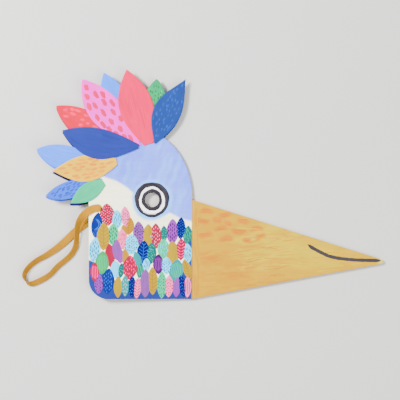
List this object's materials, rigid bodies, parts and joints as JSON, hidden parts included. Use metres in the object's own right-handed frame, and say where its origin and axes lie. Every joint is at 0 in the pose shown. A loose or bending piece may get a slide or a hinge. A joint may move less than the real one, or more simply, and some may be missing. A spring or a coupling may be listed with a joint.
{
  "type": "bird head mask",
  "caption": "Two-sided card bird-head mask with a long beak, a crest of card feathers, an eye hole and an elastic head strap; both sides swing out from the beak.",
  "frame": {"origin": "middle of the closed mask's bounding box, at the level it lies on, without the strap", "axes": "+X along the beak to its tip, +Y up the face to the crest, +Z out of the mask's right side, which faces up as it lies"},
  "size_m": [0.4496, 0.2855, 0.0141],
  "materials": {
    "beak_card": "matt hand-painted yellow",
    "head_card": "matt hand-painted periwinkle, white and blue",
    "pink_feather": "matt hand-painted",
    "pale_blue_feather": "matt hand-painted",
    "coral_feather": "matt hand-painted",
    "green_feather": "matt hand-painted",
    "blue_feather": "matt hand-painted",
    "red_feather": "matt hand-painted",
    "royal_blue_feather": "matt hand-painted",
    "sky_feather": "matt hand-painted",
    "yellow_feather": "matt hand-painted",
    "periwinkle_feather": "matt hand-painted",
    "mint_feather": "matt hand-painted",
    "elastic": "woven flat elastic"
  },
  "bodies": {
    "beak": {"beak_right": "beak_card", "beak_left": "beak_card"},
    "right_side": {"head_panel_right": "head_card", "feather_right_1": "pink_feather", "feather_right_2": "pale_blue_feather", "feather_right_3": "coral_feather", "feather_right_4": "green_feather", "feather_right_5": "blue_feather", "feather_right_6": "red_feather", "feather_right_7": "royal_blue_feather", "feather_right_8": "sky_feather", "feather_right_9": "yellow_feather", "feather_right_10": "periwinkle_feather", "feather_right_11": "mint_feather", "knot_right": "elastic", "strap_right": "elastic"},
    "left_side": {"head_panel_left": "head_card", "feather_left_1": "pink_feather", "feather_left_2": "pale_blue_feather", "feather_left_3": "coral_feather", "feather_left_4": "green_feather", "feather_left_5": "blue_feather", "feather_left_6": "red_feather", "feather_left_7": "royal_blue_feather", "feather_left_8": "sky_feather", "feather_left_9": "yellow_feather", "feather_left_10": "periwinkle_feather", "feather_left_11": "mint_feather", "knot_left": "elastic", "strap_left": "elastic"}
  },
  "joints": [
    {"name": "right_crease", "type": "hinge", "parent": "beak", "child": "right_side", "pos_m": [-0.0215, -0.08, 0.0036], "axis": [0, 1, 0], "range_deg": [0, 45]},
    {"name": "left_crease", "type": "hinge", "parent": "beak", "child": "left_side", "pos_m": [-0.0215, -0.08, 0.0016], "axis": [0, -1, 0], "range_deg": [0, 45]}
  ]
}
